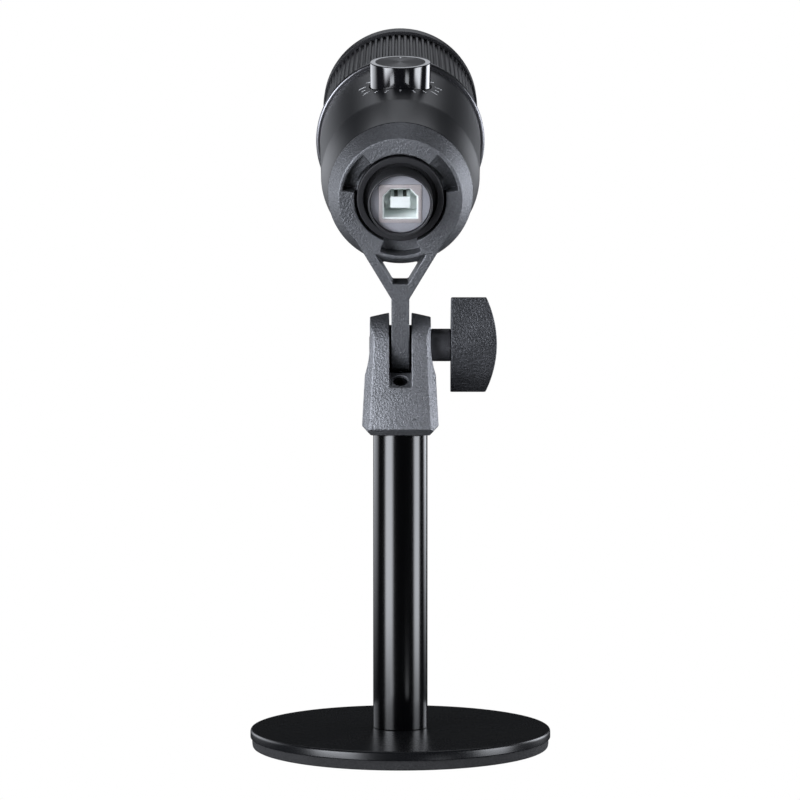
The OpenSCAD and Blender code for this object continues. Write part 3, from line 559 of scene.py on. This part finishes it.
DIAL_BAND, DIAL_EDGE, FACE_SINK, FACE_GAP = 1.65, 0.35, 0.12, 0.02
FACE_R = dial_r - DIAL_BAND
dial_body = lathe("dial_mesh", softened([
    (0, dial_low), (dial_r, dial_low, 0.2), (dial_r, dial_top, DIAL_EDGE),
    (FACE_R, dial_top, 0.06), (FACE_R, dial_top - FACE_SINK), (0, dial_top - FACE_SINK)],
    closed=False), DIAL, closed=False)
keep("dial_knob", dial_body, "dial", "dial_gloss", ["volume_dial"])

# The spun face is a thin inlay. Its depths are counted from the dial's rim.
INLAY_FOOT, INLAY_EDGE, INLAY_MIDDLE = 0.11, 0.06, 0.04
face = lathe("dial_face_mesh", softened([
    (0, dial_top - INLAY_FOOT), (FACE_R - FACE_GAP, dial_top - INLAY_FOOT),
    (FACE_R - FACE_GAP, dial_top - INLAY_EDGE, 0.04), (0, dial_top - INLAY_MIDDLE)],
    closed=False), DIAL, closed=False)
keep("dial_face", face, "dial", "dial_gloss", skin=SPUN)

MARK_W, MARK_RISE, MARK_SINK = 0.5, 0.04, 0.12
INDEX_IN, INDEX_OUT, INDEX_FOOT, INDEX_TOP = 1.9, 0.5, 0.1, 0.01
index = prism("index_mesh", [(-MARK_W / 2, FACE_R - INDEX_IN), (MARK_W / 2, FACE_R - INDEX_IN),
                             (MARK_W / 2, FACE_R - INDEX_OUT), (-MARK_W / 2, FACE_R - INDEX_OUT)],
              dial_top - INDEX_FOOT, dial_top - INDEX_TOP, DIAL)
keep("dial_index", index, "dial", "dial_gloss", skin=PRINT)


def on_barrel(radius, angle, lift):
    """A point on the barrel around the dial, the angle counted from its tail side."""
    x = radius * math.sin(angle)
    s = DIAL_S - radius * math.cos(angle)
    outline = [(r, z) for r, z in outer if r > BARREL_R0 / 2]
    for (r0, z0), (r1, z1) in zip(outline, outline[1:]):
        if z0 <= s <= z1 and z1 > z0:
            r = r0 + (r1 - r0) * (s - z0) / (z1 - z0)
            return (x, s, math.sqrt(r * r - x * x) + lift)
    raise ValueError("a mark lies off the barrel")


MARK_R, MARK_L, MARK_SHORT, MARK_COUNT, MARK_PARTS = 10.5, 2.2, 0.55, 15, 4
MARK_SWEEP = math.radians(140)
marks, mark_faces = [], []
for i in range(MARK_COUNT):
    turn = MARK_SWEEP * (2 * i / (MARK_COUNT - 1) - 1)
    half = MARK_W / 2 / MARK_R
    length = MARK_L if i % 2 == 0 else MARK_L * MARK_SHORT
    first = len(marks)
    for k in range(MARK_PARTS + 1):
        r = MARK_R + length * k / MARK_PARTS
        marks += [on_barrel(r, turn + a * half, lift) for a, lift in (
            (-1, -MARK_SINK), (1, -MARK_SINK), (1, MARK_RISE), (-1, MARK_RISE))]
    last = first + 4 * MARK_PARTS
    mark_faces += [[first, first + 1, first + 2, first + 3], [last + 3, last + 2, last + 1, last]]
    mark_faces += [[row + a, row + (a + 1) % 4, row + 4 + (a + 1) % 4, row + 4 + a]
                   for row in range(first, last, 4) for a in range(4)]
keep("scale_marks", mesh_of("marks_mesh", marks, mark_faces, MIC), "microphone",
     "barrel_satin", skin=PRINT)

# ---- grille ----

sleeve_s1 = stations("grille_sleeve")[1]
rib_r = reach("grille_sleeve")
front_r = reach("front_ring")
front_s1 = stations("front_ring")[1]
mesh_s0, mesh_s1 = stations("front_mesh")
mesh_r = reach("front_mesh")
RIBS, RIB_H = 80, 0.7
SLEEVE_IN, SEAM = 22.85, 0.3
GROOVE_PARTS, CREST_PARTS = 4, 3
GROOVE = [1 - math.sqrt(1 - (k / GROOVE_PARTS) ** 2) for k in range(-GROOVE_PARTS, GROOVE_PARTS + 1)]
RIB_SHAPE = GROOVE + [1] * CREST_PARTS


def rib_swell(r, z, i):
    """Radius of the sleeve at an angle step: full on a rib, less in its round groove."""
    core = rib_r - RIB_H
    return core + (r - core) * RIB_SHAPE[i % len(RIB_SHAPE)] if r > core + 0.01 else r


sleeve = lathe("sleeve_mesh", [
    (SLEEVE_IN, lip_s + SEAM), (rib_r - 0.35, lip_s + SEAM), (rib_r, lip_s + SEAM + 0.4),
    (rib_r, sleeve_s1 - 0.3), (rib_r - 0.3, sleeve_s1), (SLEEVE_IN, sleeve_s1)],
    BARREL, steps=RIBS * len(RIB_SHAPE), swell=rib_swell)
keep("grille_ribs", sleeve, "microphone", "grille_black", ["grille_sleeve"])

FRONT_LIP, FRONT_ROUND, SPIGOT_L, SPIGOT_GAP, SEAT_W, SEAT_DEEP = 2.2, 1.2, 4, 0.05, 2.5, 2
FLANGE_W, FLANGE_T = 1.2, 0.8
opening_r = front_r - FRONT_LIP
ring = lathe("front_ring_mesh", softened([
    (SLEEVE_IN - 1, sleeve_s1), (front_r, sleeve_s1, 0.35), (front_r, front_s1, FRONT_ROUND),
    (opening_r, front_s1, 0.4), (opening_r - 0.4, mesh_s0 + FLANGE_T),
    (mesh_r - FLANGE_W, mesh_s0), (mesh_r - SEAT_W, mesh_s0 - SEAT_DEEP),
    (mesh_r - SEAT_W, sleeve_s1 - SPIGOT_L), (SLEEVE_IN - SPIGOT_GAP, sleeve_s1 - SPIGOT_L),
    (SLEEVE_IN - SPIGOT_GAP, sleeve_s1)], steps=6), BARREL, steps=FINE_STEPS)
keep("front_ring_turned", ring, "microphone", "grille_black", ["front_ring"])

CELL, WIRE, NET_MARGIN = 1.7, 0.42, 0.2
HOOP_IN, HOOP_SINK, HOOP_RISE = 0.8, 0.1, 0.35
span_r = mesh_r - FLANGE_W
dome_h = mesh_s1 - mesh_s0 - FLANGE_T
dome_r = (span_r ** 2 + dome_h ** 2) / (2 * dome_h)


def dome(x, y, drop=0.0):
    """A point of the mesh's dome over a place in the barrel's cross-section."""
    rise = math.sqrt(dome_r ** 2 - min(x * x + y * y, span_r ** 2)) - (dome_r - dome_h)
    return (x, y, mesh_s0 + FLANGE_T + rise - drop)


net_points, net_faces = [], []
side = CELL / math.sqrt(3)
rows = int(span_r / (1.5 * side)) + 1
for row in range(-rows, rows + 1):
    for col in range(-rows, rows + 1):
        cx = CELL * (col + (row % 2) / 2)
        cy = 1.5 * side * row
        if math.hypot(cx, cy) > span_r - NET_MARGIN:
            continue
        net_faces.append(list(range(len(net_points), len(net_points) + 6)))
        net_points += [dome(cx + side * math.sin(math.radians(60 * k)),
                            cy + side * math.cos(math.radians(60 * k)), WIRE / 2)
                       for k in range(6)]
net = with_modifiers(mesh_of("net", net_points, net_faces, BARREL),
                     ("WIREFRAME", {"thickness": WIRE * MM, "offset": 0.0,
                                    "use_boundary": True}))
hoop = lathe("hoop", softened([
    (span_r - HOOP_IN, mesh_s0 + FLANGE_T - HOOP_SINK), (span_r, mesh_s0, 0.2), (mesh_r, mesh_s0),
    (mesh_r, mesh_s0 + FLANGE_T, 0.1), (span_r, mesh_s0 + FLANGE_T, 0.3),
    (span_r - HOOP_IN, mesh_s0 + FLANGE_T + HOOP_RISE, 0.1)]), BARREL, steps=160)
keep("front_mesh_net", joined("front_mesh_mesh", net, hoop), "microphone", "mesh_black",
     ["front_mesh"])

foam_s0, foam_s1 = stations("windscreen_foam")
foam_r = reach("windscreen_foam")
FOAM_CROWN, FOAM_ROUND, FOAM_DISH, FOAM_EDGE = 1.4, 2.2, 0.3, 1.5
foam_side = [(foam_r * math.sin(math.radians(a)) ** 0.5,
              foam_s1 - FOAM_ROUND + (FOAM_ROUND + FOAM_CROWN) * math.cos(math.radians(a)) ** 0.8)
             for a in range(90, -1, -6)]
foam_back = softened([(0, foam_s0 + FOAM_DISH), (foam_r, foam_s0, FOAM_EDGE),
                      (foam_r, foam_s1 - FOAM_ROUND)], closed=False)
foam_mesh = lathe("foam_mesh", [*foam_back, *foam_side[1:-1], (0, foam_side[-1][1])],
                  BARREL, closed=False)
windscreen = keep("windscreen_pad", foam_mesh, "microphone", "screen_foam", ["windscreen_foam"])

# ---- socket ----

port_s0, port_s1 = stations("port_plate")
BOSS_RIM, BOSS_WALL, BOSS_EDGE, BOSS_TAPER = 0.55, 0.9, 0.1, 1.2
boss = lathe("boss_mesh", softened([
    (BOSS_R - BOSS_RIM, port_s1), (BOSS_R - BOSS_RIM, boss_s0, 0.1),
    (BOSS_R - BOSS_EDGE, boss_s0, 0.15), (BOSS_R, boss_s0 + BOSS_TAPER, 0.3), (BOSS_R, boss_s1),
    (BOSS_R - BOSS_WALL, boss_s1), (BOSS_R - BOSS_WALL, port_s1)]), BARREL)
keep("tail_boss_ring", boss, "microphone", "boss_plastic", ["tail_boss"])

usb_s0, usb_s1 = stations("usb_shell")
usb_w = 2 * reach("usb_shell")
usb_low, usb_high = spread("usb_shell", DIAL_UP)
usb_h = (usb_high - usb_low) / MM
USB_WALL, USB_CORNER = 0.35, 0.6
OPEN_W, OPEN_H, OPEN_CUT, OPEN_EDGE = 9.3, 8.2, 2.1, 0.38
TONGUE_W, TONGUE_H, USB_DEEP = 5.6, 3.2, 9.0
CONTACT_X, CHANNEL_W, CHANNEL_D = 1.25, 1.1, 0.55
usb_face = stations("usb_insulator")[0]


def block(name, w, h, s0, s1, corner=0.0, x=0.0, up=0.0):
    """A bar along the barrel with a rounded section, placed by its middle."""
    return prism(name, softened([(x + a * w / 2, -up + b * h / 2, corner) for a, b in (
        (-1, -1), (1, -1), (1, 1), (-1, 1))]), s0, s1, BARREL)


def opening(name, grow, s0, s1):
    """The socket's mouth: a square with its two upper corners cut."""
    w, h, c = OPEN_W / 2 + grow, OPEN_H / 2 + grow, OPEN_CUT + 0.4 * grow
    return prism(name, softened([(-w, h, 0.3), (w, h, 0.3), (w, c - h, 0.25), (w - c, -h, 0.25),
                                 (c - w, -h, 0.25), (-w, c - h, 0.25)]), s0, s1, BARREL)


socket = cut(block("socket", usb_w, usb_h, usb_s0, usb_s1, USB_CORNER),
             block("bore", usb_w - 2 * USB_WALL, usb_h - 2 * USB_WALL, usb_s0 + USB_WALL,
                   usb_s1 + PAST, USB_CORNER / 2),
             opening("mouth", OPEN_EDGE, usb_s0 - PAST, usb_s0 + PAST))
keep("usb_b_shell", bevelled(socket, 0.09, segments=2), "microphone", "socket_metal", ["usb_shell"])

USB_FIT, USB_ROUND = 0.04, 0.14
TONGUE_S = usb_face + 1
TONGUE_ROOT, TONGUE_EDGE = 0.5, 0.2
CHANNEL_S = TONGUE_S + 0.5
CONTACT_S = TONGUE_S + 0.7
CONTACT_GAP, CONTACT_T, CONTACT_DEEP, CONTACT_EDGE = 0.1, 0.25, 0.3, 0.05
white = bevelled(cut(block("white", usb_w - 2 * USB_WALL - USB_FIT, usb_h - 2 * USB_WALL - USB_FIT,
                           usb_face, usb_s1 - USB_FIT / 2, USB_CORNER / 2),
                     opening("well", 0, usb_face - PAST, usb_face + USB_DEEP)), USB_ROUND)
channels = [block("channel", CHANNEL_W, 2 * CHANNEL_D, CHANNEL_S, usb_face + USB_DEEP + PAST,
                  x=x, up=up) for x in (-CONTACT_X, CONTACT_X)
            for up in (-TONGUE_H / 2, TONGUE_H / 2)]
tongue = cut(bevelled(block("tongue", TONGUE_W, TONGUE_H, TONGUE_S,
                            usb_face + USB_DEEP + TONGUE_ROOT, 0.3), TONGUE_EDGE), *channels)
keep("usb_b_insulator", joined("insulator_mesh", white, tongue), "microphone", "socket_white",
     ["usb_insulator"])
# The contacts wear the darkened plating, which is painted shade of the channels.
contacts = [bevelled(block("contact", CHANNEL_W - CONTACT_GAP, CONTACT_T, CONTACT_S,
                           usb_face + USB_DEEP, CONTACT_EDGE, x=x, up=up),
                     CONTACT_EDGE, segments=1)
            for x in (-CONTACT_X, CONTACT_X)
            for up in (CONTACT_DEEP - TONGUE_H / 2, TONGUE_H / 2 - CONTACT_DEEP)]
keep("usb_b_contacts", joined("contacts_mesh", *contacts), "microphone", "contact_gold",
     ["usb_contacts"])

PORT_IN, PORT_EDGE, PORT_GAP = 0.6, 0.15, 0.05
plate_hole = block("plate_hole", usb_w + 2 * PORT_GAP, usb_h + 2 * PORT_GAP, port_s0 - PAST,
                   port_s1 + PAST, USB_CORNER)
port = cut(lathe("port_mesh", softened([
    (0, port_s0), (BOSS_R - PORT_IN - PORT_EDGE, port_s0, 0.12),
    (BOSS_R - PORT_IN, port_s0 + 2 * PORT_EDGE, 0.1), (BOSS_R - PORT_IN, port_s1),
    (0, port_s1)], closed=False), BARREL, closed=False), plate_hole)
keep("port_plate_disc", port, "microphone", "port_plastic", ["port_plate"])

# ---- other CAD nodes ----

NODE_LOOKS = {
    "base_screw": "plain_steel", "pole_foot_plug": "plain_steel", "pole_top_stud": "plain_steel",
    "clevis_insert": "brass_insert", "clevis_grub_screw": "plain_steel",
    "friction_washers": "washer_plastic", "hinge_bolt": "plain_steel",
    "usb_board": "board_green",
    "usb_board_screws": "plain_steel", "board_header": "chip_black",
    "main_board": "board_green", "board_parts": "chip_black", "board_screws": "plain_steel",
    "potentiometer": "pot_blue", "dial_shaft": "plain_steel",
    "capsule_holder": "holder_plastic", "holder_screws": "plain_steel",
    "capsule_boot": "boot_rubber", "capsule": "capsule_metal", "capsule_leads": "lead_red",
}
for node, look in NODE_LOOKS.items():
    o = NODES[node]
    o.data.materials.clear()
    o.data.materials.append(LOOKS[look])
NODES["clevis_grub_screw"].data.materials[0] = OXIDE

# ---- stage ----


def glowing(name, color, strength):
    """A surface that shows one even colour, whatever the light."""
    m = bpy.data.materials.new(name)
    m.use_nodes = True
    t = m.node_tree
    t.nodes.remove(t.nodes["Principled BSDF"])
    e = t.nodes.new("ShaderNodeEmission")
    e.inputs["Color"].default_value = (*color, 1)
    e.inputs["Strength"].default_value = strength
    wire(t, e, "Emission", t.nodes["Material Output"], "Surface")
    return m


def backdrop(name, mesh, look):
    """A stage surface that the camera sees and that neither lights nor mirrors."""
    o = bpy.data.objects.new(name, mesh)
    bpy.context.scene.collection.objects.link(o)
    mesh.materials.append(look)
    o.visible_glossy = False
    o.visible_diffuse = False
    o.visible_shadow = False


WHITE = glowing("pale_backdrop", (1, 1, 1), 1.0)
FAR, FLOOR_TOP, FLOOR_FOOT = 6000, -0.2, -20
backdrop("floor", lathe("floor_mesh", [(0, FLOOR_TOP), (FAR, FLOOR_TOP), (FAR, FLOOR_FOOT),
                                       (0, FLOOR_FOOT)], UPRIGHT, steps=96, closed=False), WHITE)
dome_side = [(FAR * math.cos(math.radians(a)), FAR * math.sin(math.radians(a)))
             for a in range(-5, 86, 5)]
backdrop("dome", lathe("dome_mesh", dome_side + [(0, FAR)], UPRIGHT, steps=64, closed=False),
         WHITE)


def fade(tree, axis_value, soft):
    """1 in the middle of a side and 0 at its ends, soft being the share that fades."""
    fold = tree.nodes.new("ShaderNodeMath")
    fold.operation = "PINGPONG"
    fold.inputs[1].default_value = 0.5
    tree.links.new(axis_value, fold.inputs[0])
    ramp = tree.nodes.new("ShaderNodeMapRange")
    ramp.interpolation_type = "SMOOTHSTEP"
    ramp.inputs["From Max"].default_value = soft / 2
    tree.links.new(fold.outputs[0], ramp.inputs["Value"])
    return ramp.outputs["Result"]


AIM_HEIGHT = 120
SOFT_WHITE = (0.94, 0.97, 1.04)


def softbox(name, azimuth, elevation, distance, width, height, strength, soft=(0.5, 0.5)):
    """A rectangular light with soft sides that faces the microphone. Azimuth is counted
    from the camera's side towards +X, and strength is its brightness per area."""
    target = Vector((0, 0, AIM_HEIGHT * MM))
    a, e = math.radians(azimuth), math.radians(elevation)
    way = Vector((math.sin(a) * math.cos(e), -math.cos(a) * math.cos(e), math.sin(e)))
    light = bpy.data.lights.new(name, "AREA")
    light.shape = "RECTANGLE"
    light.color = SOFT_WHITE
    light.size = width * MM
    light.size_y = height * MM
    light.energy = strength * math.pi * light.size * light.size_y
    light.use_nodes = True
    t = light.node_tree
    glow = next(n for n in t.nodes if n.type == "EMISSION")
    where = t.nodes.new("ShaderNodeNewGeometry")
    parts = t.nodes.new("ShaderNodeSeparateXYZ")
    t.links.new(where.outputs["Parametric"], parts.inputs[0])
    both = t.nodes.new("ShaderNodeMath")
    both.operation = "MULTIPLY"
    t.links.new(fade(t, parts.outputs["X"], soft[0]), both.inputs[0])
    t.links.new(fade(t, parts.outputs["Y"], soft[1]), both.inputs[1])
    t.links.new(both.outputs[0], glow.inputs["Strength"])
    o = bpy.data.objects.new(name, light)
    o.location = target + way * distance * MM
    o.rotation_euler = (-way).to_track_quat("-Z", "Y").to_euler()
    o.visible_camera = False
    bpy.context.scene.collection.objects.link(o)


# The strips stand at both sides of the camera and draw the long highlights. The rims
# light the sides from behind, and the low cards reach the faces that point down.
softbox("left_strip", -49, 0, 900, 780, 800, 11.4, (0.6, 0.55))
softbox("right_strip", 73.5, 0, 900, 620, 800, 10, (0.6, 0.55))
softbox("left_rim", -130, 8.6, 1000, 1250, 1000, 2.7, (0.7, 1))
softbox("right_rim", 130, 8.6, 1000, 620, 1000, 6, (0.6, 1))
softbox("back_low", 180, 43, 1000, 660, 480, 1.0, (0.35, 0.6))
softbox("back_top", 180, 77, 1000, 420, 900, 2.15, (0.9, 0.5))
softbox("low_left", -36, -26, 900, 300, 240, 6.5, (0.4, 0.8))
softbox("low_right", 29, -26, 900, 270, 240, 4.3, (0.4, 0.8))

world = bpy.data.worlds.new("studio")
world.use_nodes = True
world.node_tree.nodes["Background"].inputs["Color"].default_value = (0.9, 0.95, 1, 1)
world.node_tree.nodes["Background"].inputs["Strength"].default_value = 0.02
bpy.context.scene.world = world
bpy.context.scene.view_settings.view_transform = "Standard"

# ---- camera ----

camera = bpy.data.cameras.new("camera")
camera.sensor_width = 36
camera.lens = 93.3
camera.clip_start = 0.01
EYE_SIDE, EYE_AWAY, EYE_HEIGHT = -0.1, 610, 101.4
eye = bpy.data.objects.new("camera", camera)
eye.location = Vector((EYE_SIDE, -EYE_AWAY, EYE_HEIGHT)) * MM
eye.rotation_euler = (math.pi / 2, 0, 0)
bpy.context.scene.collection.objects.link(eye)
bpy.context.scene.camera = eye
